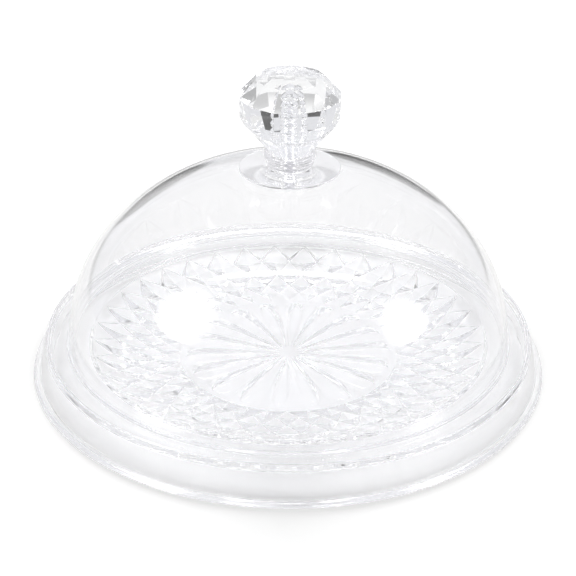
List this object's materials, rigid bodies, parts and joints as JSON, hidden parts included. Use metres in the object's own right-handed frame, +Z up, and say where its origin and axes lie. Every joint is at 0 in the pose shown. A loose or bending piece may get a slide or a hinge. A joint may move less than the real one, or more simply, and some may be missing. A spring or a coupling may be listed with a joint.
{
  "type": "cake stand with dome",
  "caption": "Clear round cake plate with cut-glass relief, covered by a lift-off clear dome with a faceted knob.",
  "frame": {"origin": "on the table, under the middle of the plate", "axes": "+Z up along the common axis of plate, dome and knob; -Y is the side that faces the viewer"},
  "size_m": [0.305, 0.305, 0.1854],
  "materials": {
    "plate_acrylic": "clear moulded acrylic, polished",
    "dome_acrylic": "clear moulded acrylic, polished",
    "seat_acrylic": "clear moulded acrylic, polished",
    "collar_acrylic": "clear moulded acrylic, polished",
    "knob_acrylic": "clear acrylic, cut facets, polished",
    "screw_clear": "clear moulded plastic, threaded",
    "washer_clear": "soft clear plastic, slightly matt"
  },
  "bodies": {
    "plate": {"base_plate": "plate_acrylic"},
    "dome": {"dome_cover": "dome_acrylic", "knob_seat": "seat_acrylic", "knob_collar": "collar_acrylic", "faceted_knob": "knob_acrylic", "knob_screw": "screw_clear", "screw_washer": "washer_clear"}
  },
  "joints": [
    {"name": "dome_lift", "type": "slide", "parent": "plate", "child": "dome", "axis": [0, 0, 1], "range_m": [0, 0.2]}
  ]
}
